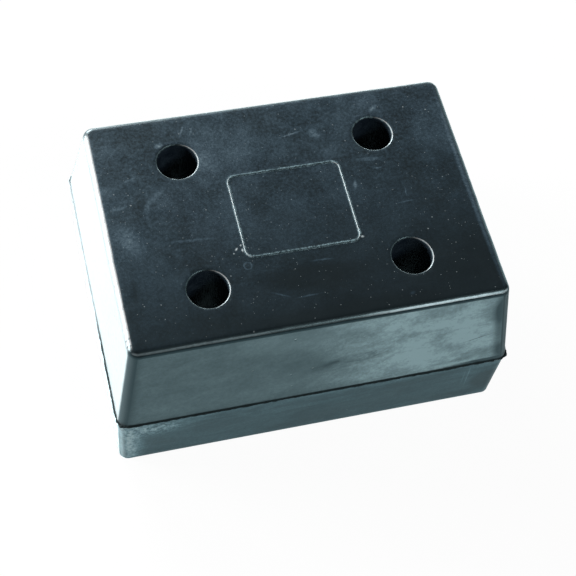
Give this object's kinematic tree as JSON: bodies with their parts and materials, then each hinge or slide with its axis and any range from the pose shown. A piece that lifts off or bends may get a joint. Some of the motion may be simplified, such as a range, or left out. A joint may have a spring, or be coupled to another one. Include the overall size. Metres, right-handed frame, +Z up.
{
  "type": "bumper buffer",
  "caption": "Solid moulded rubber bumper block with leaning walls, a parting line and through-bores for bolting it down.",
  "frame": {"origin": "centre of the base, on the face that is bolted down", "axes": "+Z up through the block towards the striking face, +X along its length, +Y along its depth"},
  "size_m": [0.1408, 0.1054, 0.0662],
  "materials": {
    "rubber": "satin moulded black rubber with a dusty, slightly smudged surface"
  },
  "bodies": {
    "root": {"rubber_block": "rubber"}
  },
  "joints": []
}
